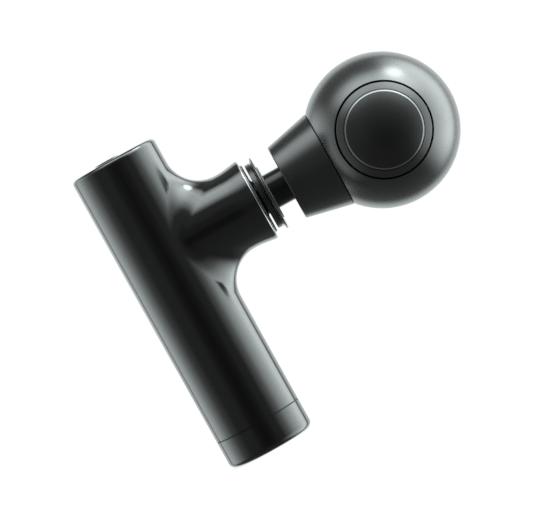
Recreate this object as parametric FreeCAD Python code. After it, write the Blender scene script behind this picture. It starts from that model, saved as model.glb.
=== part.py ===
import FreeCAD, Part

import math
import os

from FreeCAD import Placement, Rotation, Vector

# A pocket massage gun: an upright round handle and a short neck that form a T, with a reciprocating
# piston in the neck that drives a ball head.
# Millimetres. The origin is the centre of the flat base face, +Z runs up the handle and +X runs along
# the neck, towards the head. The piston is drawn fully retracted.

# Casing
HANDLE_RADIUS = 21.0
BODY_TOP_Z = 148.3
WALL = 2.0
BORE_RADIUS = HANDLE_RADIUS - WALL
HALVES_GAP = 0.16
CAP_SEAM_Z = 14.0
CAP_SEAM_GAP = 0.6
BASE_FILLET = 3.0
TOP_FILLET = 2.2
TOP_OPENING_RADIUS = 18.1
TOP_LIP_Z = 143.0
# The grip is a true cylinder up to GRIP_TOP_Z. Above it the handle is relieved by a hair, so that a
# ring slid on from below runs free at the end of the grip.
GRIP_TOP_Z = 62.0
GRIP_RELIEF = 0.004
GRIP_RELIEF_LENGTH = 2.0

# Neck
NECK_Z = 101.0
NECK_RADIUS = 18.6
NECK_BORE_RADIUS = 16.4
NECK_FLARE_X = 37.5
NECK_MOUTH_X = 48.62
MOUTH_FILLET = 1.0
FLARE_ARC_RADIUS = 30.0
FLARE_ANGLE = math.radians(8.5)
BLEND_RADIUS = 15.8
TRIM_WIDTH = 0.3
TRIM_RADIUS = 17.0
SEAL_RADIUS = 10.4

# Mechanism
STROKE = 8.0
CRANK_RADIUS = STROKE / 2
MOTOR_SHAFT_RADIUS = CRANK_RADIUS / 2
CRANK_PIN_RADIUS = 1.5
CRANK_PIN_SHANK_RADIUS = 1.2
CRANK_BEARING_RADIUS = 5.0
COUNTERWEIGHT_RADIUS = 13.0
KEY_RADIUS = 0.45
CRANK_Z = (NECK_Z + 4.0, NECK_Z + 8.0)
BEARING_Z = (NECK_Z - 2.0, NECK_Z + 2.0)
SLOT_CLEARANCE = 0.025
YOKE_HALF_HEIGHT = 3.5
YOKE_RAIL = 2.5
YOKE_HALF_WIDTH = 12.0
ARM_HALF_WIDTH = 5.0
ARM_FRONT_X = 23.0
YOKE_PIN_X = 19.0
YOKE_PIN_RADIUS = 1.5
PISTON_RADIUS = 8.4
PISTON_BACK_X = 15.0
PISTON_FRONT_X = 55.0
SOCKET_RADIUS = 6.1
SOCKET_BACK_X = 38.0
COLLAR_GROOVE_X = (51.6, 52.6)
COLLAR_BACK_X = 50.55
COLLAR_FACE_X = 54.8
RUNNING_GAP = 0.03
FIT = 0.02

# Head
BALL_X = 112.7
BALL_RADIUS = 35.3
CORE_RADIUS = 31.0
STEM_RADIUS = 8.3
STEM_X = 55.25
STEM_FRONT_X = 80.0
PLUG_RADIUS = 6.03
PLUG_BACK_X = 38.6
O_RING_XS = (42.0, 49.0)
O_RING_HALF_GROOVE = 1.0
CORE_NECK_RADIUS = 13.8
CONE_BACK_X = 63.6
CONE_FRONT_X = 85.6
CONE_BACK_RADIUS = 18.0
CONE_FRONT_RADIUS = 22.9
INSET_RADIUS = 21.85
INSET_SEAT_Y = 25.0
SIDE_RING_RADIUS = 21.2
SIDE_DISC_RADIUS = 17.9
DISC_DOME_RADIUS = 16.95
DISC_RIM_Y = 31.0
DISC_CROWN_Y = 35.1
DISC_BEVEL_HEIGHT = 0.6

# Drive frame and motor
LOWER_DECK_Z = (NECK_Z - 11.0, NECK_Z - 9.0)
UPPER_DECK_Z = (NECK_Z + 9.0, NECK_Z + 12.0)
DECK_RADIUS = 18.0
FRAME_WALL_Y = (14.4, 17.0)
SLEEVE_X = (20.0, 46.4)
SLEEVE_RADIUS = 12.6
BUSH_RADIUS = 10.5
MOTOR_SCREW_RING = 9.5
MOTOR_BEARING_HEIGHT = 4.0
SLOT_COUNT = 12
MAGNET_COUNT = 14
STATOR_Z = (UPPER_DECK_Z[1] + 5.0, UPPER_DECK_Z[1] + 14.0)
BELL_RADIUS = 16.0
BELL_Z = (UPPER_DECK_Z[1] + 3.5, UPPER_DECK_Z[1] + 21.0)

# Cells, boards and button
CELL_RADIUS = 9.0
CELL_Z = (17.2, 82.2)
CELL_OFFSET_Y = 9.25
HOLDER_BOTTOM_Z = (14.6, 16.9)
HOLDER_TOP_Z = (82.6, 84.2)
CONTROL_BOARD_Z = (86.2, 87.8)
CHARGE_BOARD_Z = (8.0, 9.6)
BUTTON_BOARD_Z = (138.0, 139.2)
LEAD_Y = 3.6
RIBBON_DEG = 140.0
TOP_PLATE_Z = 145.6
TOP_FACE_Z = BODY_TOP_Z - 0.3
BUTTON_X = -2.6
BUTTON_RADIUS = 5.9
BUTTON_TOP_Z = 149.15
LIGHT_X = 8.0
LIGHT_PITCH = 3.4
LIGHT_RADIUS = 0.7

# Screws
SCREW_RADIUS = 1.0
SCREW_HEAD_RADIUS = 1.9
FRAME_SCREW_LENGTH = 4.8
BOARD_SCREW_LENGTH = 5.0
FRAME_SCREW_DEPTH = 3.4
CAP_SCREW_LENGTH = 10.0

X_AXIS = Vector(1, 0, 0)
Y_AXIS = Vector(0, 1, 0)
Z_AXIS = Vector(0, 0, 1)


def box(x, y, z):
    """A box between the two values of each of x, y and z."""
    corner = Vector(x[0], y[0], z[0])
    return Part.makeBox(x[1] - x[0], y[1] - y[0], z[1] - z[0], corner)


def upright(radius, z, at=(0.0, 0.0)):
    """A cylinder along Z between the two values of z."""
    return Part.makeCylinder(radius, z[1] - z[0], Vector(at[0], at[1], z[0]), Z_AXIS)


def level(radius, x, at=(0.0, NECK_Z)):
    """A cylinder along X between the two values of x, centred on (y, z)."""
    return Part.makeCylinder(radius, x[1] - x[0], Vector(x[0], at[0], at[1]), X_AXIS)


def tube(outer, inner, z, at=(0.0, 0.0)):
    return upright(outer, z, at).cut(upright(inner, z, at))


def turned(profile, base, axis):
    """A solid of revolution of a closed profile of (distance along the axis, radius) points."""
    if axis == X_AXIS:
        points = [Vector(along, 0, radius) for along, radius in profile]
    else:
        points = [Vector(radius, 0, along) for along, radius in profile]
    face = Part.Face(Part.makePolygon(points + [points[0]]))
    solid = face.revolve(Vector(0, 0, 0), axis, 360)
    solid.translate(base)
    return solid


def turned_x(profile):
    return turned(profile, Vector(0, 0, NECK_Z), X_AXIS)


def turned_z(profile):
    return turned(profile, Vector(0, 0, 0), Z_AXIS)


def fused(shapes):
    solid = shapes[0]
    if len(shapes) > 1:
        solid = solid.fuse(shapes[1:])
    return solid.removeSplitter()


def spun(shape, angle_deg):
    """A copy of the shape, turned about the handle's axis."""
    return shape.transformed(Placement(Vector(0, 0, 0), Rotation(Z_AXIS, angle_deg)).toMatrix())


def around(shape, count, first_deg=0.0):
    return [spun(shape, first_deg + 360.0 * step / count) for step in range(count)]


def wire(points, radius):
    """A round lead along straight runs, with a ball at each bend."""
    runs = []
    for start, end in zip(points, points[1:]):
        way = end - start
        runs.append(Part.makeCylinder(radius, way.Length, start, way))
    bends = [Part.makeSphere(radius, bend) for bend in points[1:-1]]
    return fused(runs + bends)


def flat_head_screw(head_at, way, length, radius=SCREW_RADIUS):
    """A countersunk screw: its head's flat face is centred on head_at and its shank runs along way."""
    cone = Part.makeCone(SCREW_HEAD_RADIUS, radius, SCREW_HEAD_RADIUS - radius, head_at, way)
    shank = Part.makeCylinder(radius, length, head_at, way)
    return cone.fuse(shank)


def screw_hole(head_at, way, length, radius=SCREW_RADIUS):
    """What a flat-head screw's hole removes, with its fit."""
    cone_height = SCREW_HEAD_RADIUS - radius
    cone = Part.makeCone(SCREW_HEAD_RADIUS + FIT, radius + FIT, cone_height, head_at, way)
    return cone.fuse(Part.makeCylinder(radius + FIT, length + FIT, head_at, way))


def pan_head_screw(seat, way, length, radius=SCREW_RADIUS):
    """A pan-head screw: its head sits on seat and its shank runs on along way."""
    head_height = 1.2
    head = Part.makeCylinder(SCREW_HEAD_RADIUS, head_height, seat - way * head_height, way)
    return head.fuse(Part.makeCylinder(radius, length, seat, way))


def casing_outside():
    """The T of the handle and the flared neck, with the large blend between them."""
    bottom = CAP_SEAM_Z + CAP_SEAM_GAP / 2
    handle = turned_z([
        (bottom, 0.0),
        (bottom, HANDLE_RADIUS),
        (GRIP_TOP_Z, HANDLE_RADIUS),
        (GRIP_TOP_Z + GRIP_RELIEF_LENGTH, HANDLE_RADIUS - GRIP_RELIEF),
        (BODY_TOP_Z, HANDLE_RADIUS - GRIP_RELIEF),
        (BODY_TOP_Z, 0.0),
    ])
    arc_end_x = NECK_FLARE_X + FLARE_ARC_RADIUS * math.sin(FLARE_ANGLE)
    arc_end_r = NECK_RADIUS + FLARE_ARC_RADIUS * (1 - math.cos(FLARE_ANGLE))
    mouth_r = arc_end_r + (NECK_MOUTH_X - arc_end_x) * math.tan(FLARE_ANGLE)
    half = FLARE_ANGLE / 2
    arc_mid = Vector(NECK_FLARE_X + FLARE_ARC_RADIUS * math.sin(half), 0,
                     NECK_RADIUS + FLARE_ARC_RADIUS * (1 - math.cos(half)))
    arc_start = Vector(NECK_FLARE_X, 0, NECK_RADIUS)
    arc_end = Vector(arc_end_x, 0, arc_end_r)
    outline = Part.Wire([
        Part.makeLine(Vector(0, 0, 0), Vector(0, 0, NECK_RADIUS)),
        Part.makeLine(Vector(0, 0, NECK_RADIUS), arc_start),
        Part.Arc(arc_start, arc_mid, arc_end).toShape(),
        Part.makeLine(arc_end, Vector(NECK_MOUTH_X, 0, mouth_r)),
        Part.makeLine(Vector(NECK_MOUTH_X, 0, mouth_r), Vector(NECK_MOUTH_X, 0, 0)),
        Part.makeLine(Vector(NECK_MOUTH_X, 0, 0), Vector(0, 0, 0)),
    ])
    neck = Part.Face(outline).revolve(Vector(0, 0, 0), X_AXIS, 360)
    neck.translate(Vector(0, 0, NECK_Z))
    tee = fused([handle, neck])
    joint_edges = [edge for edge in tee.Edges if is_neck_joint(edge)]
    tee = tee.makeFillet(BLEND_RADIUS, joint_edges)
    rim = [edge for edge in tee.Edges if edge.BoundBox.ZMin > BODY_TOP_Z - FIT]
    tee = tee.makeFillet(TOP_FILLET, rim)
    mouth = [edge for edge in tee.Edges if edge.BoundBox.XMin > NECK_MOUTH_X - FIT]
    return tee.makeFillet(MOUTH_FILLET, mouth)


def is_neck_joint(edge):
    """True for an edge where the neck's side meets the handle's side."""
    bounds = edge.BoundBox
    near = bounds.XMin > 1.0 and bounds.XMax < HANDLE_RADIUS + FIT
    return near and NECK_Z - HANDLE_RADIUS < bounds.ZMin and bounds.ZMax < NECK_Z + HANDLE_RADIUS


def casing():
    """The hollow casing before it is split into halves."""
    hollow = [
        upright(BORE_RADIUS, (CAP_SEAM_Z - 1.0, TOP_LIP_Z)),
        upright(TOP_OPENING_RADIUS, (TOP_LIP_Z - 1.0, BODY_TOP_Z + 1.0)),
        level(NECK_BORE_RADIUS, (0.0, NECK_MOUTH_X + 1.0)),
        window_block(0.05),
    ]
    return casing_outside().cut(fused(hollow))


def frame_screw_places():
    """(x, z) of the four screws that hold the drive frame to the front half."""
    return [(x, NECK_Z + z) for x in (-5.5, 5.5) for z in (-6.3, 6.3)]


def slice_y(shape, y):
    """The part of a shape between the two values of y."""
    reach = 200.0
    return shape.common(box((-reach, reach), y, (-reach, reach)))


def housing_halves():
    """The two half shells. The front half carries the frame's bosses and the locating tongue."""
    seam = HALVES_GAP / 2
    outside = HANDLE_RADIUS + 1.0
    stop_height = 1.3
    stop_z = HOLDER_TOP_Z[1] + 0.1
    holder_stop = tube(BORE_RADIUS + FIT, BORE_RADIUS - 0.8, (stop_z, stop_z + stop_height))
    shell = fused([casing(), holder_stop])
    front = slice_y(shell, (-outside, -seam))
    rear = slice_y(shell, (seam, outside))

    for x, z in frame_screw_places():
        boss = Part.makeCylinder(2.6, 2 * WALL, Vector(x, -FRAME_WALL_Y[1] - FIT, z), -Y_AXIS)
        front = front.fuse(boss.common(upright(BORE_RADIUS + WALL / 2, (z - 5.0, z + 5.0))))
    for x, z in frame_screw_places():
        front = front.cut(screw_hole(Vector(x, -FRAME_WALL_Y[0], z), -Y_AXIS, FRAME_SCREW_LENGTH))

    tongue_z = (18.0, 64.0)
    tongue_reach = 1.2
    tongue = tube(BORE_RADIUS + 0.9, BORE_RADIUS - FIT, tongue_z)
    tongue = slice_y(tongue, (-seam - 1.0, tongue_reach))
    groove = tube(BORE_RADIUS + 1.0, BORE_RADIUS - 1.0, (tongue_z[0] - 0.1, tongue_z[1] + 0.1))
    groove = slice_y(groove, (-seam - 1.0, tongue_reach + 0.1))
    return fused([front, tongue]), rear.cut(groove)


def window_block(margin):
    """The status window's body, which follows the handle's round back."""
    half_width = 1.2 + margin
    z = (NECK_Z - 12.5 - margin, NECK_Z - 5.5 + margin)
    block = box((-HANDLE_RADIUS - 1.0, -18.6 + margin), (-half_width, half_width), z)
    if margin > 0:
        return block
    return block.common(upright(HANDLE_RADIUS - 0.05, z))


def top_cap():
    """The plate over the handle's top, with the button's hole and the pillars for its board."""
    gap = 0.1
    profile = [
        (TOP_PLATE_Z, 0.0),
        (TOP_FACE_Z, 0.0),
        (TOP_FACE_Z, TOP_OPENING_RADIUS - gap - 0.3),
        (TOP_FACE_Z - 0.3, TOP_OPENING_RADIUS - gap),
        (TOP_LIP_Z - gap, TOP_OPENING_RADIUS - gap),
        (TOP_LIP_Z - gap, BORE_RADIUS - gap),
        (TOP_LIP_Z - 1.8, BORE_RADIUS - gap),
        (TOP_LIP_Z - 1.8, 16.6),
        (TOP_PLATE_Z, 16.6),
    ]
    pillar = upright(2.0, (BUTTON_BOARD_Z[1], TOP_PLATE_Z + 0.1), (14.0, 0.0))
    hole_radius = BUTTON_RADIUS + gap
    edge = 0.2
    edge_at = Vector(BUTTON_X, 0, TOP_FACE_Z - edge)
    through = (TOP_PLATE_Z - 1.0, TOP_FACE_Z + 1.0)
    holes = [
        upright(hole_radius, through, (BUTTON_X, 0.0)),
        Part.makeCone(hole_radius, hole_radius + edge, edge, edge_at, Z_AXIS),
    ]
    holes += [screw_core(place) for place in board_screw_places()]
    holes += [upright(LIGHT_RADIUS + FIT, through, at) for at in light_places()]
    return fused([turned_z(profile)] + around(pillar, 3)).cut(fused(holes))


def light_places():
    """(x, y) of the charge lights in front of the button."""
    return [(LIGHT_X, step * LIGHT_PITCH) for step in (-1, 0, 1)]


def top_lights():
    """Light pipes, flush with the top face, each with a wider foot under the plate."""
    foot_z = (BUTTON_BOARD_Z[1] + 0.4, TOP_PLATE_Z - FIT)
    return [upright(LIGHT_RADIUS, (foot_z[0], TOP_FACE_Z), at).fuse(upright(LIGHT_RADIUS + 0.5, foot_z, at))
            for at in light_places()]


def board_screw_places():
    return [Vector(14.0 * math.cos(turn), 14.0 * math.sin(turn), BUTTON_BOARD_Z[0])
            for turn in (0, 2 * math.pi / 3, 4 * math.pi / 3)]


def screw_core(seat):
    return Part.makeCylinder(SCREW_RADIUS + FIT, BOARD_SCREW_LENGTH + 0.2, seat, Z_AXIS)


def power_button():
    """The thin dished button, with the flange that keeps it under the top plate."""
    flange_top = TOP_PLATE_Z - 0.1
    flange_bottom = flange_top - 0.9
    profile = [
        (flange_bottom, 0.0),
        (BUTTON_TOP_Z - 0.2, 0.0),
        (BUTTON_TOP_Z - 0.15, BUTTON_RADIUS * 0.45),
        (BUTTON_TOP_Z, BUTTON_RADIUS - 0.9),
        (BUTTON_TOP_Z - 0.07, BUTTON_RADIUS - 0.4),
        (BUTTON_TOP_Z - 0.35, BUTTON_RADIUS),
        (flange_top, BUTTON_RADIUS),
        (flange_top, BUTTON_RADIUS + 0.9),
        (flange_bottom, BUTTON_RADIUS + 0.9),
    ]
    button = turned_z(profile)
    button.translate(Vector(BUTTON_X, 0, 0))
    return button


def button_switch_parts():
    """The board under the button, the switch on it and the switch's plunger."""
    places = board_screw_places()
    board = upright(16.0, BUTTON_BOARD_Z)
    for place in places:
        board = board.cut(screw_core(place - Z_AXIS))
    half = 3.0
    body_top = BUTTON_BOARD_Z[1] + 3.5
    body = box((BUTTON_X - half, BUTTON_X + half), (-half, half), (BUTTON_BOARD_Z[1], body_top))
    body = body.cut(upright(1.8, (body_top - 2.6, body_top + 1.0), (BUTTON_X, 0.0)))
    plunger = upright(1.7, (body_top - 1.4, TOP_PLATE_Z - 1.0), (BUTTON_X, 0.0))
    ribbon_tab = box((13.0, 15.9), (-2.5, 2.5), (BUTTON_BOARD_Z[0] - 0.9, BUTTON_BOARD_Z[0]))
    ribbon_tab = spun(ribbon_tab, RIBBON_DEG)
    screws = [pan_head_screw(place, Z_AXIS, BOARD_SCREW_LENGTH) for place in places]
    return board.fuse(ribbon_tab), body, plunger, screws


def bottom_cap():
    floor = 2.2
    inner = 18.0
    outside = upright(HANDLE_RADIUS, (0.0, CAP_SEAM_Z - CAP_SEAM_GAP / 2))
    base_edge = [edge for edge in outside.Edges if edge.BoundBox.ZMax < FIT]
    outside = outside.makeFillet(BASE_FILLET, base_edge)
    spigot = upright(BORE_RADIUS - 0.1, (CAP_SEAM_Z - 1.0, CAP_SEAM_Z + 2.8))
    cap = fused([outside, spigot])
    cap = cap.cut(upright(inner, (floor, CAP_SEAM_Z - 1.5)))
    cap = cap.cut(upright(inner - 0.4, (floor, CAP_SEAM_Z + 5.0)))
    ledge = tube(inner + FIT, 15.2, (floor, CHARGE_BOARD_Z[0]))
    cap = cap.fuse(ledge.common(box((-19, 19), (-19, -9), (0, 20))))
    cap = cap.fuse(ledge.common(box((-19, 19), (9, 19), (0, 20))))
    cap = cap.cut(socket_slot(4.7 + FIT, 1.7 + FIT, (-1.0, floor + 0.5)))
    for place in cap_screw_places():
        cap = cap.cut(screw_hole(place, Z_AXIS, floor + 0.5))
    return cap.removeSplitter()


def cap_gasket():
    """The black gasket between the cap and the casing, set back a little from the handle's side."""
    z = (CAP_SEAM_Z - CAP_SEAM_GAP / 2 + FIT, CAP_SEAM_Z + CAP_SEAM_GAP / 2 - FIT)
    return tube(HANDLE_RADIUS - 0.35, BORE_RADIUS + FIT, z)


def cap_screw_places():
    return [Vector(x, 0, 0) for x in (-12.5, 12.5)]


def socket_slot(half_width, half_height, z):
    """The rounded shape of the charging socket, long in Y."""
    straight = half_width - half_height
    ends = [upright(half_height, z, (0.0, side * straight)) for side in (-1, 1)]
    return fused(ends + [box((-half_height, half_height), (-straight, straight), z)])


def charge_parts():
    """The charging board, its socket's shell and the tongue inside the shell."""
    board = upright(17.4, CHARGE_BOARD_Z)
    for place in cap_screw_places():
        board = board.cut(upright(2.8, (7.0, 11.0), (place.x, place.y)))
    shell_z = (0.5, CHARGE_BOARD_Z[0])
    shell = socket_slot(4.7, 1.7, shell_z).cut(socket_slot(4.4, 1.4, (0.0, CHARGE_BOARD_Z[0] - 1.0)))
    tongue = box((-0.35, 0.35), (-3.3, 3.3), (1.3, CHARGE_BOARD_Z[0] - 1.0))
    return board, shell, tongue


def battery_holder():
    """End plates and two spines that carry the cells, with posts for the bottom cap's screws."""
    lower = upright(17.2, HOLDER_BOTTOM_Z)
    upper = upright(18.7, HOLDER_TOP_Z)
    spine = box((10.0, 17.0), (-1.5, 1.5), (HOLDER_BOTTOM_Z[0], HOLDER_TOP_Z[1]))
    lead_guard = box((10.0, 12.0), (-3.2, 3.2), (30.0, 70.0))
    posts = [upright(2.6, (2.3, 15.0), (place.x, place.y)) for place in cap_screw_places()]
    holder = fused([lower, upper] + around(spine, 2) + around(lead_guard, 2) + posts)
    for place in cap_screw_places():
        holder = holder.cut(upright(SCREW_RADIUS + FIT, (2.0, CAP_SCREW_LENGTH + 0.5), (place.x, place.y)))
    for side in (-1, 1):
        holder = holder.cut(upright(0.9, (14.0, 85.0), (14.0, side * LEAD_Y)))
    ribbon_slot = spun(box((16.4, 20.0), (-3.2, 3.2), (82.0, 85.0)), RIBBON_DEG)
    return holder.cut(ribbon_slot)


def battery_cell(side):
    """A steel cell with a rolled groove near its positive end and a raised button there."""
    bottom, top = CELL_Z
    shoulder = top - 0.8
    profile = [
        (bottom, 0.0),
        (bottom, CELL_RADIUS - 0.4),
        (bottom + 0.4, CELL_RADIUS),
        (shoulder - 4.0, CELL_RADIUS),
        (shoulder - 3.4, CELL_RADIUS - 0.7),
        (shoulder - 2.8, CELL_RADIUS),
        (shoulder - 0.5, CELL_RADIUS),
        (shoulder, CELL_RADIUS - 0.5),
        (shoulder, 3.2),
        (top, 2.8),
        (top, 0.0),
    ]
    cell = turned_z(profile)
    cell.translate(Vector(0, side * CELL_OFFSET_Y, 0))
    return cell


def battery_tabs():
    link = box((-3.0, 3.0), (-12.5, 12.5), (CELL_Z[0] - 0.2, CELL_Z[0] - 0.02))
    ends = [box((-3.0, 12.0), sorted((side * 4.6, side * 12.0)), (CELL_Z[1] + 0.03, CELL_Z[1] + 0.25))
            for side in (-1, 1)]
    return [link] + ends


def control_parts():
    """The control board and what stands on it."""
    board = upright(17.0, CONTROL_BOARD_Z)
    for place in frame_pillar_places():
        hole = Part.makeCylinder(SCREW_RADIUS + FIT, 4.0, place - Z_AXIS * 3.0, Z_AXIS)
        board = board.cut(hole)
    under = CONTROL_BOARD_Z[0]
    top = CONTROL_BOARD_Z[1]
    transistors = [box((left, left + 4.0), (-9.0, -4.0), (top, top + 1.1)) for left in (-7.0, -1.8, 3.4)]
    processor = box((-3.5, 3.5), (2.0, 9.0), (top, top + 1.0))
    connector = box((5.5, 10.0), (2.0, 8.0), (top, top + 1.9))
    chokes = [upright(2.2, (under - 1.5, under), (x, 6.0)) for x in (-6.0, 0.0, 6.0)]
    lamp = box((-16.6, -15.0), (-1.4, 1.4), (top, top + 0.7))
    return board, transistors + [processor, connector] + chokes, lamp


def frame_pillar_places():
    radius = 14.0
    turns = (0.0, 2 * math.pi / 3, 4 * math.pi / 3)
    return [Vector(radius * math.cos(turn), radius * math.sin(turn), CONTROL_BOARD_Z[1]) for turn in turns]


def drive_frame():
    """The cast cage: two decks, two side walls, and the sleeve that guides the piston."""
    tongue_half = 8.8
    decks = [upright(DECK_RADIUS, UPPER_DECK_Z), upright(DECK_RADIUS, LOWER_DECK_Z)]
    tongues = [box((0.0, 23.0), (-tongue_half, tongue_half), z) for z in (UPPER_DECK_Z, LOWER_DECK_Z)]
    walls = []
    for side in (-1, 1):
        y = sorted((side * FRAME_WALL_Y[0], side * FRAME_WALL_Y[1]))
        walls.append(box((-7.4, 7.4), y, (LOWER_DECK_Z[0], UPPER_DECK_Z[1])))
    flange = level(NECK_BORE_RADIUS - 0.2, (SLEEVE_X[0], SLEEVE_X[0] + 3.0))
    sleeve = level(SLEEVE_RADIUS, SLEEVE_X)
    ribs = []
    for step in range(6):
        rib = box((22.0, 42.0), (-0.9, 0.9), (NECK_Z + SLEEVE_RADIUS - 1.0, NECK_Z + 15.6))
        rib.rotate(Vector(0, 0, NECK_Z), X_AXIS, 30.0 + 60.0 * step)
        ribs.append(rib)
    pillars = [upright(2.4, (CONTROL_BOARD_Z[1], LOWER_DECK_Z[0] + 0.5), (place.x, place.y))
               for place in frame_pillar_places()]
    frame = fused(decks + tongues + walls + [flange, sleeve] + ribs + pillars)

    holes = [
        level(BUSH_RADIUS + FIT, (SLEEVE_X[0] - 1.0, SLEEVE_X[1] + 1.0)),
        upright(5.4, (UPPER_DECK_Z[0] - 1.0, UPPER_DECK_Z[1] + 1.0)),
        box((-19.0, -13.9), (-4.0, 4.0), (LOWER_DECK_Z[0] - 1.0, UPPER_DECK_Z[1] + 1.0)),
        spun(box((16.6, 20.0), (-3.2, 3.2), (LOWER_DECK_Z[0] - 1.0, UPPER_DECK_Z[1] + 1.0)), RIBBON_DEG),
    ]
    for x, z in frame_screw_places():
        holes.append(screw_hole(Vector(x, -FRAME_WALL_Y[0], z), -Y_AXIS, FRAME_SCREW_LENGTH))
    for place in frame_pillar_places():
        holes.append(Part.makeCylinder(SCREW_RADIUS + FIT, FRAME_SCREW_DEPTH + 0.3, place - Z_AXIS, Z_AXIS))
    for place in motor_screw_places():
        holes.append(screw_hole(place, Z_AXIS, 6.0))
    for hole in holes:
        frame = frame.cut(hole)
    return frame


def motor_screw_places():
    return [Vector(MOTOR_SCREW_RING * math.cos(turn), MOTOR_SCREW_RING * math.sin(turn), UPPER_DECK_Z[0])
            for turn in [math.radians(45 + 90 * step) for step in range(4)]]


def guide_bushes():
    bushes = []
    for x in ((24.0, 31.0), (39.0, 46.0)):
        bushes.append(level(BUSH_RADIUS, x).cut(level(PISTON_RADIUS + RUNNING_GAP, (x[0] - 1, x[1] + 1))))
    return bushes


def isolation_pads():
    """Rubber pads between the decks' rims and the casing."""
    pads = []
    for deck in (UPPER_DECK_Z, LOWER_DECK_Z):
        z = (deck[0] + 0.1, deck[1] - 0.1)
        ring = tube(BORE_RADIUS - FIT, DECK_RADIUS + FIT, z)
        for angle in (50.0, 160.0, 200.0, 310.0):
            pads.append(ring.common(spun(box((10.0, 20.0), (-1.9, 1.9), z), angle)))
    return pads


def nose_plate():
    """The face of the neck's mouth, with the spigot that holds it in the bore."""
    back = NECK_MOUTH_X + TRIM_WIDTH
    front = back + 0.65
    recess = front - 0.3
    spigot_back = NECK_MOUTH_X - 1.3
    seat = spigot_back + 0.4
    profile = [
        (spigot_back, 13.2),
        (spigot_back, NECK_BORE_RADIUS - 0.1),
        (back, NECK_BORE_RADIUS - 0.1),
        (back, TRIM_RADIUS - 0.1),
        (front - 0.12, 16.7),
        (front, 16.4),
        (front, 15.4),
        (recess, 15.0),
        (recess, 11.2),
        (front, 10.8),
        (front, SEAL_RADIUS + FIT),
        (seat, SEAL_RADIUS + FIT),
        (seat, 13.2),
    ]
    return turned_x(profile)


def wiper_seal():
    lip = PISTON_RADIUS + RUNNING_GAP + 0.02
    profile = [
        (47.1, SEAL_RADIUS),
        (49.2, SEAL_RADIUS),
        (49.5, 9.6),
        (49.9, lip + 0.3),
        (49.8, lip),
        (49.4, lip),
        (48.9, 9.0),
        (48.0, 9.0),
        (47.6, lip),
        (47.1, lip),
    ]
    return turned_x(profile)


def neck_trim_ring():
    back = NECK_MOUTH_X + FIT
    front = NECK_MOUTH_X + TRIM_WIDTH - FIT
    profile = [
        (back, NECK_BORE_RADIUS + FIT),
        (back, TRIM_RADIUS),
        (back + 0.08, TRIM_RADIUS + 0.1),
        (front - 0.08, TRIM_RADIUS + 0.1),
        (front, TRIM_RADIUS),
        (front, NECK_BORE_RADIUS + FIT),
    ]
    return turned_x(profile)


def motor_base():
    base_z = (UPPER_DECK_Z[1], UPPER_DECK_Z[1] + 2.0)
    tube_top = base_z[1] + 13.0
    base = fused([upright(14.0, base_z), upright(6.0, (base_z[0], tube_top))])
    base = base.cut(upright(4.5, (base_z[0] - 1.0, tube_top + 1.0)))
    for place in motor_screw_places():
        base = base.cut(screw_hole(place, Z_AXIS, 6.0))
    return base


def motor_bearings():
    low = UPPER_DECK_Z[1] + 0.1
    high = UPPER_DECK_Z[1] + 15.0 - MOTOR_BEARING_HEIGHT
    bore = MOTOR_SHAFT_RADIUS + RUNNING_GAP
    return [tube(4.5 - FIT, bore, (z, z + MOTOR_BEARING_HEIGHT)) for z in (low, high)]


def stator_core():
    """The laminated core: a hub with twelve T-shaped teeth."""
    hub = upright(8.2, STATOR_Z)
    tooth = box((8.0, 13.0), (-0.9, 0.9), STATOR_Z)
    shoe_ring = tube(13.8, 12.7, STATOR_Z)
    shoe = shoe_ring.common(box((8.0, 14.0), (-2.6, 2.6), STATOR_Z))
    core = fused([hub] + around(tooth, SLOT_COUNT) + around(shoe, SLOT_COUNT))
    return core.cut(upright(6.0 + FIT, (STATOR_Z[0] - 1, STATOR_Z[1] + 1)))


def stator_windings():
    outer = box((8.7, 12.4), (-1.9, 1.9), (STATOR_Z[0] - 1.0, STATOR_Z[1] + 1.0))
    inner = box((8.0, 13.0), (-0.92, 0.92), (STATOR_Z[0] - FIT, STATOR_Z[1] + FIT))
    wedge_cut = upright(8.2 + FIT, (STATOR_Z[0] - 2, STATOR_Z[1] + 2))
    coil = outer.cut(inner).cut(wedge_cut)
    half_pitch = 180.0 / SLOT_COUNT
    for side in (-1, 1):
        limit = box((0.0, 20.0), sorted((side * 0.08, side * 10.0)), (100.0, 140.0))
        coil = coil.cut(spun(limit, side * half_pitch))
    return around(coil, SLOT_COUNT)


def rotor_bell():
    can = upright(BELL_RADIUS, BELL_Z)
    top_edge = [edge for edge in can.Edges if edge.BoundBox.ZMin > BELL_Z[1] - FIT]
    can = can.makeFillet(1.0, top_edge)
    can = can.cut(upright(BELL_RADIUS - 1.0, (BELL_Z[0] - 1.0, BELL_Z[1] - 2.0)))
    vent = upright(2.4, (BELL_Z[1] - 3.0, BELL_Z[1] + 1.0), (9.0, 0.0))
    can = can.cut(fused(around(vent, 6)))
    return can.cut(upright(MOTOR_SHAFT_RADIUS, (BELL_Z[0], BELL_Z[1] + 1.0)))


def rotor_magnets():
    z = (STATOR_Z[0] - 0.5, STATOR_Z[1] + 0.5)
    ring = tube(BELL_RADIUS - 1.0 - FIT, 14.1, z)
    half_width = math.pi * 14.1 / MAGNET_COUNT - 0.35
    magnet = ring.common(box((10.0, 16.0), (-half_width, half_width), z))
    return around(magnet, MAGNET_COUNT)


def key_bore():
    """The round keyway, half in the shaft and half in the crank."""
    z = (CRANK_Z[0] - 1.0, CRANK_Z[1] + 1.0)
    return upright(KEY_RADIUS + RUNNING_GAP, z, (-MOTOR_SHAFT_RADIUS, 0.0))


def motor_shaft():
    shaft = upright(MOTOR_SHAFT_RADIUS, (CRANK_Z[0], BELL_Z[1] + 0.6))
    return shaft.cut(key_bore())


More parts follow.
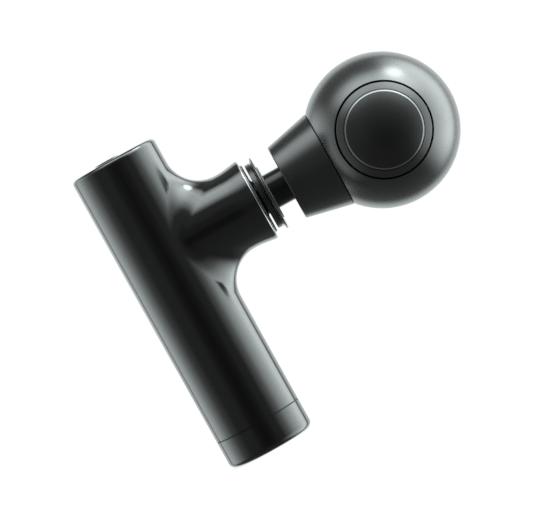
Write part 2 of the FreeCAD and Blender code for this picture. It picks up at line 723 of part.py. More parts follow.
def crank_disc():
    """The crank's hub and arm, and the counterweight opposite the pin."""
    hub = upright(4.4, CRANK_Z)
    pin_boss = upright(3.4, CRANK_Z, (-CRANK_RADIUS, 0.0))
    weight = upright(COUNTERWEIGHT_RADIUS, CRANK_Z).common(box((1.5, 14.0), (-14.0, 14.0), CRANK_Z))
    web = box((-1.0, 3.0), (-4.4, 4.4), CRANK_Z)
    crank = fused([hub, pin_boss, weight, web])
    crank = crank.cut(upright(MOTOR_SHAFT_RADIUS, (CRANK_Z[0] - 1, CRANK_Z[1] + 1)))
    pin_hole_z = (CRANK_Z[0] - 1.0, CRANK_Z[0] + 3.4)
    crank = crank.cut(upright(CRANK_PIN_SHANK_RADIUS, pin_hole_z, (-CRANK_RADIUS, 0.0)))
    return crank.cut(key_bore())


def crank_pin():
    """The pin pressed into the crank, with the collar above the bearing and the head below it."""
    at = (-CRANK_RADIUS, 0.0)
    pin = upright(CRANK_PIN_RADIUS, (BEARING_Z[0] - 1.4, CRANK_Z[0]), at)
    shank = upright(CRANK_PIN_SHANK_RADIUS, (BEARING_Z[1], CRANK_Z[0] + 3.2), at)
    collar = upright(2.2, (BEARING_Z[1], CRANK_Z[0]), at)
    head = upright(2.4, (BEARING_Z[0] - 1.4, BEARING_Z[0]), at)
    return fused([pin, shank, collar, head])


def crank_bearing():
    return tube(CRANK_BEARING_RADIUS, CRANK_PIN_RADIUS, BEARING_Z, (-CRANK_RADIUS, 0.0))


def shaft_key():
    return upright(KEY_RADIUS, (CRANK_Z[0] + 0.3, CRANK_Z[1] - 0.3), (-MOTOR_SHAFT_RADIUS, 0.0))


def yoke():
    """The slotted plate that the crank bearing pushes, and the arm that enters the piston."""
    z = (NECK_Z - YOKE_HALF_HEIGHT, NECK_Z + YOKE_HALF_HEIGHT)
    slot_half = CRANK_BEARING_RADIUS + SLOT_CLEARANCE
    slot_reach = CRANK_RADIUS + 0.1
    x = (-CRANK_RADIUS - slot_half - YOKE_RAIL, -CRANK_RADIUS + slot_half + YOKE_RAIL)
    plate = box(x, (-YOKE_HALF_WIDTH, YOKE_HALF_WIDTH), z)
    corners = [edge for edge in plate.Edges if edge.BoundBox.ZLength > YOKE_HALF_HEIGHT]
    plate = plate.makeFillet(3.5, corners)
    arm = box((x[1] - 2.0, ARM_FRONT_X), (-ARM_HALF_WIDTH, ARM_HALF_WIDTH), z)
    through = (z[0] - 1.0, z[1] + 1.0)
    ends = [upright(slot_half, through, (-CRANK_RADIUS, side * slot_reach)) for side in (-1, 1)]
    slot_x = (-CRANK_RADIUS - slot_half, -CRANK_RADIUS + slot_half)
    middle = box(slot_x, (-slot_reach, slot_reach), through)
    body = fused([plate, arm]).cut(fused(ends + [middle]))
    return body.cut(upright(YOKE_PIN_RADIUS + FIT, through, (YOKE_PIN_X, 0.0)))


def yoke_pin():
    reach = PISTON_RADIUS - 0.4
    return upright(YOKE_PIN_RADIUS, (NECK_Z - reach, NECK_Z + reach), (YOKE_PIN_X, 0.0))


def piston():
    """The round piston: a pocket for the yoke's arm behind, and the head's socket in front."""
    edge = 0.5
    profile = [
        (PISTON_BACK_X, 0.0),
        (PISTON_BACK_X, PISTON_RADIUS - edge),
        (PISTON_BACK_X + edge, PISTON_RADIUS),
        (COLLAR_GROOVE_X[0], PISTON_RADIUS),
        (COLLAR_GROOVE_X[0], PISTON_RADIUS - 0.6),
        (COLLAR_GROOVE_X[1], PISTON_RADIUS - 0.6),
        (COLLAR_GROOVE_X[1], PISTON_RADIUS),
        (PISTON_FRONT_X, PISTON_RADIUS),
        (PISTON_FRONT_X, SOCKET_RADIUS + edge),
        (PISTON_FRONT_X - edge, SOCKET_RADIUS),
        (SOCKET_BACK_X, SOCKET_RADIUS),
        (SOCKET_BACK_X, 0.0),
    ]
    body = turned_x(profile)
    pocket_z = (NECK_Z - YOKE_HALF_HEIGHT - FIT, NECK_Z + YOKE_HALF_HEIGHT + FIT)
    pocket_y = (-ARM_HALF_WIDTH - FIT, ARM_HALF_WIDTH + FIT)
    body = body.cut(box((PISTON_BACK_X - 1.0, ARM_FRONT_X + FIT), pocket_y, pocket_z))
    return body.cut(upright(YOKE_PIN_RADIUS + FIT, (NECK_Z - 10, NECK_Z + 10), (YOKE_PIN_X, 0.0)))


def collar_washer():
    """The bright steel ring on the collar's front face."""
    back = COLLAR_FACE_X
    front = back + 0.65
    inner = STEM_RADIUS + 0.15
    outer = 12.8
    profile = [
        (back, inner),
        (back, outer - 0.1),
        (back + 0.12, outer),
        (front - 0.15, outer),
        (front, outer - 0.15),
        (front, inner + 0.15),
        (front - 0.15, inner),
    ]
    return turned_x(profile)


def shaft_collar():
    """The spool on the piston's nose: a ribbed drum, a groove and a thin lip bent back."""
    drum_r = 16.1
    rib_pitch = 0.55
    rib_depth = 0.28
    bore_r = PISTON_RADIUS + FIT
    key_r = bore_r - 0.6
    profile = [(COLLAR_BACK_X, bore_r), (COLLAR_BACK_X, drum_r - 0.7)]
    for rib in range(4):
        start = COLLAR_BACK_X + 0.1 + rib * rib_pitch
        profile.append((start, drum_r - rib_depth))
        profile.append((start + rib_pitch * 0.3, drum_r))
        profile.append((start + rib_pitch * 0.7, drum_r))
    groove_x = COLLAR_FACE_X - 2.0
    profile += [
        (groove_x, drum_r - 0.2),
        (groove_x + 0.05, 15.4),
        (groove_x + 0.25, 15.3),
        (groove_x + 0.35, 16.1),
        (groove_x + 0.65, 16.5),
        (groove_x + 0.95, 17.2),
        (groove_x + 1.1, 17.8),
        (groove_x + 1.35, 18.0),
        (groove_x + 1.7, 17.9),
        (groove_x + 1.9, 17.5),
        (COLLAR_FACE_X, 17.0),
        (COLLAR_FACE_X, bore_r),
        (COLLAR_GROOVE_X[1] - FIT, bore_r),
        (COLLAR_GROOVE_X[1] - FIT, key_r),
        (COLLAR_GROOVE_X[0] + FIT, key_r),
        (COLLAR_GROOVE_X[0] + FIT, bore_r),
    ]
    return turned_x(profile)


def head_stem():
    """The plug that enters the piston's socket, and the round stem up to the head's core."""
    profile = [(PLUG_BACK_X, 0.0), (PLUG_BACK_X, PLUG_RADIUS - 1.0), (PLUG_BACK_X + 1.0, PLUG_RADIUS)]
    for centre in O_RING_XS:
        profile += [
            (centre - O_RING_HALF_GROOVE, PLUG_RADIUS),
            (centre - O_RING_HALF_GROOVE, 4.4),
            (centre + O_RING_HALF_GROOVE, 4.4),
            (centre + O_RING_HALF_GROOVE, PLUG_RADIUS),
        ]
    profile += [
        (STEM_X, PLUG_RADIUS),
        (STEM_X, STEM_RADIUS - 0.3),
        (STEM_X + 0.3, STEM_RADIUS),
        (STEM_FRONT_X, STEM_RADIUS),
        (STEM_FRONT_X, 0.0),
    ]
    return turned_x(profile)


def plug_o_rings():
    return [Part.makeTorus(5.25, 0.78, Vector(x, 0, NECK_Z), X_AXIS) for x in O_RING_XS]


def ball(radius):
    return Part.makeSphere(radius, Vector(BALL_X, 0, NECK_Z))


def side_cylinder(radius, y):
    """A cylinder on the ball's side-to-side axis, between the two values of y."""
    return Part.makeCylinder(radius, y[1] - y[0], Vector(BALL_X, y[0], NECK_Z), Y_AXIS)


def head_core():
    """The rigid core: a hollow ball with flat side seats, and a neck that holds the stem."""
    wall = 3.0
    hollow_half = INSET_SEAT_Y - wall
    hollow = ball(CORE_RADIUS - wall).common(side_cylinder(CORE_RADIUS, (-hollow_half, hollow_half)))
    hollow = hollow.cut(level(CORE_NECK_RADIUS, (CONE_BACK_X, STEM_FRONT_X + wall)))
    neck = level(CORE_NECK_RADIUS, (CONE_BACK_X + 2.4, STEM_FRONT_X + wall))
    core = fused([ball(CORE_RADIUS), neck]).cut(hollow)
    core = core.cut(level(STEM_RADIUS + FIT, (CONE_BACK_X, STEM_FRONT_X + FIT)))
    for y in ((INSET_SEAT_Y, BALL_RADIUS + 1.0), (-BALL_RADIUS - 1.0, -INSET_SEAT_Y)):
        core = core.cut(side_cylinder(INSET_RADIUS, y))
    return core


def head_cone():
    edge = 0.5
    front_edge = 0.35
    profile = [
        (CONE_BACK_X, STEM_RADIUS + FIT),
        (CONE_BACK_X, CONE_BACK_RADIUS - edge),
        (CONE_BACK_X + 0.15, CONE_BACK_RADIUS - 0.15),
        (CONE_BACK_X + edge, CONE_BACK_RADIUS + 0.1),
        (CONE_FRONT_X - front_edge, CONE_FRONT_RADIUS),
        (CONE_FRONT_X, CONE_FRONT_RADIUS - front_edge),
        (CONE_FRONT_X, CORE_NECK_RADIUS + FIT),
        (CONE_BACK_X + 2.4 - FIT, CORE_NECK_RADIUS + FIT),
        (CONE_BACK_X + 2.4 - FIT, STEM_RADIUS + FIT),
    ]
    return turned_x(profile).cut(ball(CORE_RADIUS + FIT))


def ball_skin():
    """The soft skin over the core, open at the cone and at the two side insets."""
    skin = ball(BALL_RADIUS).cut(ball(CORE_RADIUS + FIT))
    skin = skin.cut(box((BALL_X - 60.0, CONE_FRONT_X + FIT), (-40.0, 40.0), (NECK_Z - 40.0, NECK_Z + 40.0)))
    return skin.cut(side_cylinder(INSET_RADIUS, (-40.0, 40.0)))


def side_rings():
    """The flush rings in the ball's side insets, each with a rounded outer edge."""
    rings = []
    for side in (-1, 1):
        y = sorted((side * (INSET_SEAT_Y + FIT), side * 40.0))
        ring = side_cylinder(SIDE_RING_RADIUS, y).cut(side_cylinder(SIDE_DISC_RADIUS + 0.25, y))
        ring = ring.common(ball(BALL_RADIUS - 0.1))
        rings.append(ring.makeFillet(0.3, [edge for edge in ring.Edges if is_ring_rim(edge)]))
    return rings


def is_ring_rim(edge):
    """True for the outer edge of a side ring's outward face."""
    bounds = edge.BoundBox
    away = min(abs(bounds.YMin), abs(bounds.YMax)) > INSET_SEAT_Y + 1.0
    return away and bounds.XLength > 2 * SIDE_RING_RADIUS - FIT


def side_discs():
    """The raised discs: a bevelled rim and a dome nearly as round as the ball."""
    rise = DISC_CROWN_Y - DISC_RIM_Y
    dome_radius = (DISC_DOME_RADIUS ** 2 + rise ** 2) / (2 * rise)
    bevel_base_y = DISC_RIM_Y - DISC_BEVEL_HEIGHT
    bevel_slope = DISC_BEVEL_HEIGHT / (SIDE_DISC_RADIUS - DISC_DOME_RADIUS)
    cone_height = SIDE_DISC_RADIUS * bevel_slope
    dome = Part.makeSphere(dome_radius)
    dome.rotate(Vector(0, 0, 0), Y_AXIS, 90)
    dome.translate(Vector(BALL_X, DISC_CROWN_Y - dome_radius, NECK_Z))
    bevel = Part.makeCone(SIDE_DISC_RADIUS, 0.0, cone_height, Vector(BALL_X, bevel_base_y, NECK_Z), Y_AXIS)
    rim = side_cylinder(SIDE_DISC_RADIUS, (INSET_SEAT_Y + FIT, bevel_base_y))
    disc = rim.fuse(bevel).removeSplitter().common(dome)
    other = disc.copy()
    other.rotate(Vector(BALL_X, 0, NECK_Z), X_AXIS, 180)
    return [disc, other]


def motor_leads():
    """Three leads from the windings, down behind the crank to the control board."""
    leads = []
    for step in (-1, 0, 1):
        y = 2.0 * step
        leads.append(wire([
            Vector(-12.9, y, UPPER_DECK_Z[1] + 2.7),
            Vector(-15.2, y, UPPER_DECK_Z[1] + 2.7),
            Vector(-15.2, y, LOWER_DECK_Z[0] - 0.7),
            Vector(-12.0, y, CONTROL_BOARD_Z[1] + 0.5),
        ], 0.45))
    return leads


def battery_leads():
    leads = []
    for side in (-1, 1):
        leads.append(wire([
            Vector(14.0, side * LEAD_Y, CONTROL_BOARD_Z[0]),
            Vector(14.0, side * LEAD_Y, CHARGE_BOARD_Z[1]),
        ], 0.6))
    return leads


def button_ribbon():
    """The flat ribbon from the button board down past the motor to the control board."""
    run = box((17.0, 17.4), (-2.5, 2.5), (CONTROL_BOARD_Z[0] + 0.3, BUTTON_BOARD_Z[0] - 0.1))
    top = box((16.0, 17.4), (-2.5, 2.5), (BUTTON_BOARD_Z[0] - 0.6, BUTTON_BOARD_Z[0] - 0.1))
    return spun(fused([run, top]), RIBBON_DEG)


def parts():
    """Every sub-part by name. A list is a group of separate solids."""
    housing_front, housing_rear = housing_halves()
    board, switch, plunger, button_screws = button_switch_parts()
    charge_board, charge_socket, charge_tongue = charge_parts()
    control_board, control_chips, status_lamp = control_parts()
    frame_screws = [flat_head_screw(Vector(x, -FRAME_WALL_Y[0], z), -Y_AXIS, FRAME_SCREW_LENGTH)
                    for x, z in frame_screw_places()]
    board_screws = [pan_head_screw(place - Z_AXIS * (CONTROL_BOARD_Z[1] - CONTROL_BOARD_Z[0]), Z_AXIS,
                                   FRAME_SCREW_DEPTH)
                    for place in frame_pillar_places()]
    return {
        "housing_front": housing_front,
        "housing_rear": housing_rear,
        "top_cap": top_cap(),
        "top_lights": top_lights(),
        "bottom_cap": bottom_cap(),
        "neck_trim_ring": neck_trim_ring(),
        "nose_plate": nose_plate(),
        "wiper_seal": wiper_seal(),
        "cap_gasket": cap_gasket(),
        "status_window": window_block(0.0),
        "status_lamp": status_lamp,
        "drive_frame": drive_frame(),
        "guide_bushes": guide_bushes(),
        "isolation_pads": isolation_pads(),
        "frame_screws": frame_screws,
        "motor_base": motor_base(),
        "motor_bearings": motor_bearings(),
        "motor_screws": [flat_head_screw(place, Z_AXIS, 5.4) for place in motor_screw_places()],
        "stator_core": stator_core(),
        "stator_windings": stator_windings(),
        "battery_cells": [battery_cell(side) for side in (-1, 1)],
        "battery_holder": battery_holder(),
        "battery_tabs": battery_tabs(),
        "control_board": control_board,
        "control_chips": control_chips,
        "board_screws": board_screws,
        "charge_board": charge_board,
        "charge_socket": charge_socket,
        "charge_tongue": charge_tongue,
        "cap_screws": [flat_head_screw(place, Z_AXIS, CAP_SCREW_LENGTH) for place in cap_screw_places()],
        "button_board": board,
        "button_switch": switch,
        "button_screws": button_screws,
        "motor_leads": motor_leads(),
        "battery_leads": battery_leads(),
        "button_ribbon": button_ribbon(),
        "power_button": power_button(),
        "switch_plunger": plunger,
        "rotor_bell": rotor_bell(),
        "rotor_magnets": rotor_magnets(),
        "motor_shaft": motor_shaft(),
        "crank_disc": crank_disc(),
        "crank_pin": crank_pin(),
        "crank_bearing": crank_bearing(),
        "shaft_key": shaft_key(),
        "yoke": yoke(),
        "yoke_pin": yoke_pin(),
        "piston": piston(),
        "shaft_collar": shaft_collar(),
        "collar_washer": collar_washer(),
        "head_stem": head_stem(),
        "plug_o_rings": plug_o_rings(),
        "head_core": head_core(),
        "head_cone": head_cone(),
        "ball_skin": ball_skin(),
        "side_rings": side_rings(),
        "side_discs": side_discs(),
    }


os.makedirs("parts", exist_ok=True)
for name, shape in parts().items():
    pieces = shape if isinstance(shape, list) else [shape]
    solids = [solid for piece in pieces for solid in piece.Solids]
    whole = solids[0] if len(solids) == 1 else Part.makeCompound(solids)
    whole.exportStep("parts/" + name + ".step")
    print(name, len(solids), "solids", round(whole.Volume / 1000.0, 3), "cm3")
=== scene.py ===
import math

import bmesh
import bpy
from mathutils import Matrix, Vector


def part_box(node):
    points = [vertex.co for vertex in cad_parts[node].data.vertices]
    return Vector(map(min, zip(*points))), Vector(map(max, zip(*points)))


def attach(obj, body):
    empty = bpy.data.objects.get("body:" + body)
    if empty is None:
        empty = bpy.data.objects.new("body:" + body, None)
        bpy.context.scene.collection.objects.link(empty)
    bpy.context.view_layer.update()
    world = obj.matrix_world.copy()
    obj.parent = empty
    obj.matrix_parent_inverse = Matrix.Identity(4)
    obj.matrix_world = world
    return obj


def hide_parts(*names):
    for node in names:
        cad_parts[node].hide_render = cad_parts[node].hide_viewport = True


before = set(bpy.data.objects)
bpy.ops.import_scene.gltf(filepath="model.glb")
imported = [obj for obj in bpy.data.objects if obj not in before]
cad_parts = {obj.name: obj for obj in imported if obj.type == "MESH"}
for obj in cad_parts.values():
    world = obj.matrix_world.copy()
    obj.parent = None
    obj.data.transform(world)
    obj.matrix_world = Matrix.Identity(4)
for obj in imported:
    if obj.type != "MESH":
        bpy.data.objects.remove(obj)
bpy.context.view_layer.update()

# A pocket massage gun: the finish of every piece, the moulded skin of its ball, the camera and the
# studio. Sizes are in metres, written in millimetres with MM where they are small.
MM = 0.001


# ---------------------------------------------------------------- places, all from the frame

def centre_of(node):
    low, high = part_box(node)
    return (low + high) / 2


# The neck and the head run along X at NECK_Z, and the ball's side axis runs along Y.
NECK_Z = centre_of("neck_trim_ring").z
NECK_MOUTH_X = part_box("neck_trim_ring")[0].x
BALL_CENTRE = Vector((centre_of("side_rings").x, 0.0, NECK_Z))
BALL_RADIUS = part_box("ball_skin")[1].x - BALL_CENTRE.x
BALL_CUT_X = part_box("ball_skin")[0].x
CORE_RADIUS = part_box("head_core")[1].x - BALL_CENTRE.x
SIDE_RING_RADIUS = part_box("side_rings")[1].x - BALL_CENTRE.x
SIDE_DISC_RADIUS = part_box("side_discs")[1].x - BALL_CENTRE.x


# ---------------------------------------------------------------- shader helpers

class Shader:
    """A short way to write a node tree: each call adds a node and returns the socket it gives."""

    def __init__(self, tree):
        self.tree = tree

    def node(self, kind, **settings):
        """A new node itself, with its settings, for what the calls below don't cover."""
        made = self.tree.nodes.new(kind)
        for name, value in settings.items():
            setattr(made, name, value)
        return made

    def feed(self, value, socket):
        """Link a socket's value, or set a plain one."""
        if isinstance(value, bpy.types.NodeSocket):
            self.tree.links.new(value, socket)
        else:
            socket.default_value = value

    def math(self, operation, *values):
        made = self.node("ShaderNodeMath", operation=operation)
        for value, socket in zip(values, made.inputs):
            self.feed(value, socket)
        return made.outputs[0]

    def vector_math(self, operation, *values):
        made = self.node("ShaderNodeVectorMath", operation=operation)
        for value, socket in zip(values, made.inputs):
            self.feed(value, socket)
        gives_number = operation in ("DOT_PRODUCT", "LENGTH")
        return made.outputs["Value" if gives_number else "Vector"]

    def parts(self, vector):
        """The three parts of a vector."""
        made = self.node("ShaderNodeSeparateXYZ")
        self.feed(vector, made.inputs[0])
        return made.outputs[:]

    def ramp(self, value, low, high, out_low=0.0, out_high=1.0):
        """A smooth step from out_low to out_high, as value goes from low to high."""
        made = self.node("ShaderNodeMapRange", interpolation_type="SMOOTHSTEP", clamp=True)
        self.feed(value, made.inputs["Value"])
        made.inputs["From Min"].default_value = low
        made.inputs["From Max"].default_value = high
        made.inputs["To Min"].default_value = out_low
        made.inputs["To Max"].default_value = out_high
        return made.outputs["Result"]

    def noise(self, coordinates, scale, detail, roughness):
        made = self.node("ShaderNodeTexNoise")
        self.feed(coordinates, made.inputs["Vector"])
        made.inputs["Scale"].default_value = scale
        made.inputs["Detail"].default_value = detail
        made.inputs["Roughness"].default_value = roughness
        return made.outputs["Fac"]

    def mix(self, share, a, b):
        made = self.node("ShaderNodeMix", data_type="RGBA")
        self.feed(share, made.inputs["Factor"])
        self.feed(a, made.inputs["A"])
        self.feed(b, made.inputs["B"])
        return made.outputs["Result"]

    def bump(self, height, distance, strength, under=None):
        """A normal bumped by height, on top of the normal under if there is one."""
        made = self.node("ShaderNodeBump")
        made.inputs["Strength"].default_value = strength
        made.inputs["Distance"].default_value = distance
        self.feed(height, made.inputs["Height"])
        if under is not None:
            self.feed(under, made.inputs["Normal"])
        return made.outputs["Normal"]


# All the object's greys lean a little towards green.
GREY_LEAN = (0.985, 1.005, 1.0)


def grey(value):
    return tuple(value * part for part in GREY_LEAN) + (1.0,)


def lighter(colour, factor, added=0.0):
    """A lighter copy of a colour."""
    return tuple(min(1.0, part * factor + added) for part in colour[:3]) + (1.0,)


def material(name, paint):
    """A new material; paint(shader, principled, object coordinates) fills it in."""
    made = bpy.data.materials.new(name)
    made.use_nodes = True
    shader = Shader(made.node_tree)
    principled = made.node_tree.nodes["Principled BSDF"]
    coordinates = shader.node("ShaderNodeTexCoord").outputs["Object"]
    paint(shader, principled, coordinates)
    return made


def set_inputs(principled, **values):
    """Set inputs of a principled shader by their names, with _ for each space."""
    for name, value in values.items():
        principled.inputs[name.replace("_", " ")].default_value = value


def feed_surface(shader, principled, colour, gloss, normal):
    """Link the three patterns that every solid finish has."""
    shader.feed(colour, principled.inputs["Base Color"])
    shader.feed(gloss, principled.inputs["Roughness"])
    shader.feed(normal, principled.inputs["Normal"])


# ---------------------------------------------------------------- finishes

# Noise runs from 0 to 1 and is mostly near 0.5, so the limits of a ramp on it set how sharp the
# pattern is. Its scales are in cells a metre.
LACQUER_FLAKES = 5200.0
LACQUER_PEEL = 900.0
LACQUER_MARKS = 90.0
SATIN_GRAIN = 2400.0
SATIN_CLOUDS = 60.0
PLASTIC_GRAIN = 1800.0
GLOW_CELLS = 1500.0

# Heights of the bumps.
LACQUER_PEEL_HEIGHT = 0.004 * MM
LACQUER_FLAKE_HEIGHT = 0.0008 * MM
METAL_LINE_HEIGHT = 0.002 * MM
PLASTIC_GRAIN_HEIGHT = 0.01 * MM

COAT_WEIGHT = 0.2
COAT_ROUGHNESS = 0.08

# The neck's bare machined edge, and the polished line round each side disc.
BARE_EDGE_X = NECK_MOUTH_X - 0.6 * MM
BARE_EDGE_BASE = 0.35
BARE_EDGE_BLUR = 0.02 * MM
DISC_LINE_RADIUS = SIDE_DISC_RADIUS - 0.56 * MM
DISC_LINE_WIDTH = 0.55 * MM
DISC_LINE_BASE = 0.45
DISC_LINE_BLUR = 0.03 * MM

# The noise scale along the lines of metal, as a share of the scale across them.
METAL_SCALE_ALONG = 0.04


def paint_lacquer(base, metallic, roughness, bare_from=None):
    """Glossy metallic lacquer: fine flakes, a trace of orange peel, and faint handling marks.

    From bare_from along the neck the lacquer is machined off, and the edge is bare and bright."""
    def paint(shader, principled, coordinates):
        flakes = shader.noise(coordinates, LACQUER_FLAKES, detail=2.0, roughness=0.6)
        marks = shader.noise(coordinates, LACQUER_MARKS, detail=4.0, roughness=0.55)
        peel = shader.noise(coordinates, LACQUER_PEEL, detail=2.0, roughness=0.5)
        colour = shader.mix(shader.ramp(flakes, 0.35, 0.75), grey(base * 0.8), grey(base * 1.25))
        if bare_from is not None:
            along = shader.parts(coordinates)[0]
            machined = shader.ramp(along, bare_from - BARE_EDGE_BLUR, bare_from + BARE_EDGE_BLUR)
            colour = shader.mix(machined, colour, grey(BARE_EDGE_BASE))
        gloss = shader.ramp(marks, 0.35, 0.7, roughness * 0.92, roughness * 1.14)
        peeled = shader.bump(peel, LACQUER_PEEL_HEIGHT, strength=0.35)
        flaked = shader.bump(flakes, LACQUER_FLAKE_HEIGHT, strength=0.25, under=peeled)
        feed_surface(shader, principled, colour, gloss, flaked)
        set_inputs(principled, Metallic=metallic, Coat_Weight=COAT_WEIGHT, Coat_Roughness=COAT_ROUGHNESS)
    return paint


def paint_satin(base, metallic, roughness, height, scale=SATIN_GRAIN):
    """Satin moulded surface: a fine even grain with slow colour and gloss variation."""
    def paint(shader, principled, coordinates):
        grain = shader.noise(coordinates, scale, detail=3.0, roughness=0.6)
        clouds = shader.noise(coordinates, SATIN_CLOUDS, detail=3.0, roughness=0.5)
        colour = shader.mix(shader.ramp(clouds, 0.3, 0.7), grey(base * 0.94), grey(base * 1.06))
        speckle = shader.mix(shader.ramp(grain, 0.3, 0.8), colour, grey(base * 1.12))
        gloss = shader.ramp(grain, 0.2, 0.8, roughness * 0.9, roughness * 1.12)
        bumps = shader.bump(grain, height, strength=0.6)
        feed_surface(shader, principled, speckle, gloss, bumps)
        set_inputs(principled, Metallic=metallic)
    return paint


def paint_disc(**satin_values):
    """The side discs: satin domes, each with a bright polished line round its bevel."""
    paint_dome = paint_satin(**satin_values)

    def paint(shader, principled, coordinates):
        paint_dome(shader, principled, coordinates)
        from_centre = shader.vector_math("SUBTRACT", coordinates, tuple(BALL_CENTRE))
        from_axis = shader.vector_math("MULTIPLY", from_centre, (1.0, 0.0, 1.0))
        radius = shader.vector_math("LENGTH", from_axis)
        from_line = shader.math("ABSOLUTE", shader.math("SUBTRACT", radius, DISC_LINE_RADIUS))
        edge = DISC_LINE_WIDTH / 2
        on_line = shader.ramp(from_line, edge - DISC_LINE_BLUR, edge + DISC_LINE_BLUR, 1.0, 0.0)
        dome = principled.inputs["Base Color"].links[0].from_socket
        shader.feed(shader.mix(on_line, dome, grey(DISC_LINE_BASE)), principled.inputs["Base Color"])
    return paint


def paint_metal(colour, roughness, scale, lines_round):
    """Turned or drawn metal: fine lines that run round one axis, or an even grain for EVERY_AXIS."""
    def paint(shader, principled, coordinates):
        mapping = shader.node("ShaderNodeMapping")
        shader.feed(coordinates, mapping.inputs["Vector"])
        mapping.inputs["Scale"].default_value = [1.0 if part else METAL_SCALE_ALONG for part in lines_round]
        lines = shader.noise(mapping.outputs["Vector"], scale, detail=4.0, roughness=0.7)
        lined = shader.mix(lines, colour, lighter(colour, 1.15))
        gloss = shader.ramp(lines, 0.3, 0.7, roughness * 0.8, roughness * 1.25)
        bumps = shader.bump(lines, METAL_LINE_HEIGHT, strength=0.3)
        feed_surface(shader, principled, lined, gloss, bumps)
        set_inputs(principled, Metallic=1.0)
    return paint


def paint_plastic(colour, roughness):
    """Moulded plastic, coated board or wrap: one colour with a fine grain in it."""
    def paint(shader, principled, coordinates):
        grain = shader.noise(coordinates, PLASTIC_GRAIN, detail=2.0, roughness=0.5)
        grained = shader.mix(grain, colour, lighter(colour, 1.3, added=0.01))
        gloss = shader.ramp(grain, 0.2, 0.8, roughness * 0.85, roughness * 1.15)
        bumps = shader.bump(grain, PLASTIC_GRAIN_HEIGHT, strength=0.4)
        feed_surface(shader, principled, grained, gloss, bumps)
    return paint


def paint_glow(colour, strength):
    """A translucent light diffuser."""
    def paint(shader, principled, coordinates):
        cells = shader.noise(coordinates, GLOW_CELLS, detail=2.0, roughness=0.5)
        shader.feed(shader.mix(cells, grey(0.3), colour), principled.inputs["Base Color"])
        set_inputs(principled, Roughness=0.3, Emission_Color=colour, Emission_Strength=strength)
    return paint


X_AXIS = (1, 0, 0)
Y_AXIS = (0, 1, 0)
Z_AXIS = (0, 0, 1)
EVERY_AXIS = (1, 1, 1)

PAINTS = {
    # The outside
    "gunmetal_lacquer": paint_lacquer(base=0.125, metallic=1.0, roughness=0.13, bare_from=BARE_EDGE_X),
    "top_face_dark": paint_satin(base=0.03, metallic=0.3, roughness=0.3, height=0.003 * MM),
    "button_satin": paint_satin(base=0.3, metallic=1.0, roughness=0.24, height=0.003 * MM),
    "status_window_glow": paint_glow((0.10, 0.22, 0.55, 1.0), strength=0.25),
    "polished_chrome": paint_metal((0.7, 0.72, 0.72, 1.0), roughness=0.3, scale=1200.0, lines_round=X_AXIS),
    "nose_dark": paint_satin(base=0.012, metallic=0.0, roughness=0.5, height=0.002 * MM, scale=1800.0),
    "collar_gloss": paint_satin(base=0.19, metallic=0.9, roughness=0.24, height=0.0008 * MM),
    "washer_satin": paint_satin(base=0.34, metallic=0.4, roughness=0.45, height=0.0006 * MM),
    "stem_gloss_black": paint_lacquer(base=0.03, metallic=0.4, roughness=0.16),
    "cone_charcoal": paint_satin(base=0.14, metallic=1.0, roughness=0.27, height=0.0015 * MM, scale=2200.0),
    "ball_satin_skin": paint_satin(base=0.165, metallic=0.95, roughness=0.27, height=0.001 * MM,
                                   scale=2600.0),
    "side_ring_satin": paint_satin(base=0.14, metallic=0.95, roughness=0.3, height=0.005 * MM, scale=2600.0),
    "side_disc_dark": paint_disc(base=0.115, metallic=1.0, roughness=0.32, height=0.001 * MM),
    "black_rubber": paint_satin(base=0.02, metallic=0.0, roughness=0.5, height=0.012 * MM, scale=2600.0),
    # The inside
    "turned_steel": paint_metal((0.6, 0.6, 0.6, 1.0), roughness=0.3, scale=900.0, lines_round=Z_AXIS),
    "black_steel": paint_metal((0.05, 0.05, 0.052, 1.0), roughness=0.4, scale=900.0, lines_round=Z_AXIS),
    "cast_alloy": paint_metal((0.5, 0.51, 0.52, 1.0), roughness=0.5, scale=500.0, lines_round=EVERY_AXIS),
    "sintered_bronze": paint_metal((0.6, 0.42, 0.2, 1.0), roughness=0.45, scale=1500.0,
                                   lines_round=EVERY_AXIS),
    "copper_wire": paint_metal((0.72, 0.32, 0.14, 1.0), roughness=0.3, scale=1500.0, lines_round=Z_AXIS),
    "nickel_strip": paint_metal((0.7, 0.68, 0.64, 1.0), roughness=0.25, scale=900.0, lines_round=Y_AXIS),
    "cell_wrap": paint_plastic((0.05, 0.2, 0.24, 1.0), roughness=0.3),
    "holder_black": paint_plastic((0.03, 0.03, 0.032, 1.0), roughness=0.55),
    "board_green": paint_plastic((0.01, 0.09, 0.045, 1.0), roughness=0.35),
    "chip_black": paint_plastic((0.02, 0.02, 0.02, 1.0), roughness=0.5),
    "lead_red": paint_plastic((0.35, 0.03, 0.025, 1.0), roughness=0.4),
    "ribbon_amber": paint_plastic((0.45, 0.22, 0.05, 1.0), roughness=0.35),
    "core_grey": paint_plastic((0.1, 0.1, 0.1, 1.0), roughness=0.5),
}

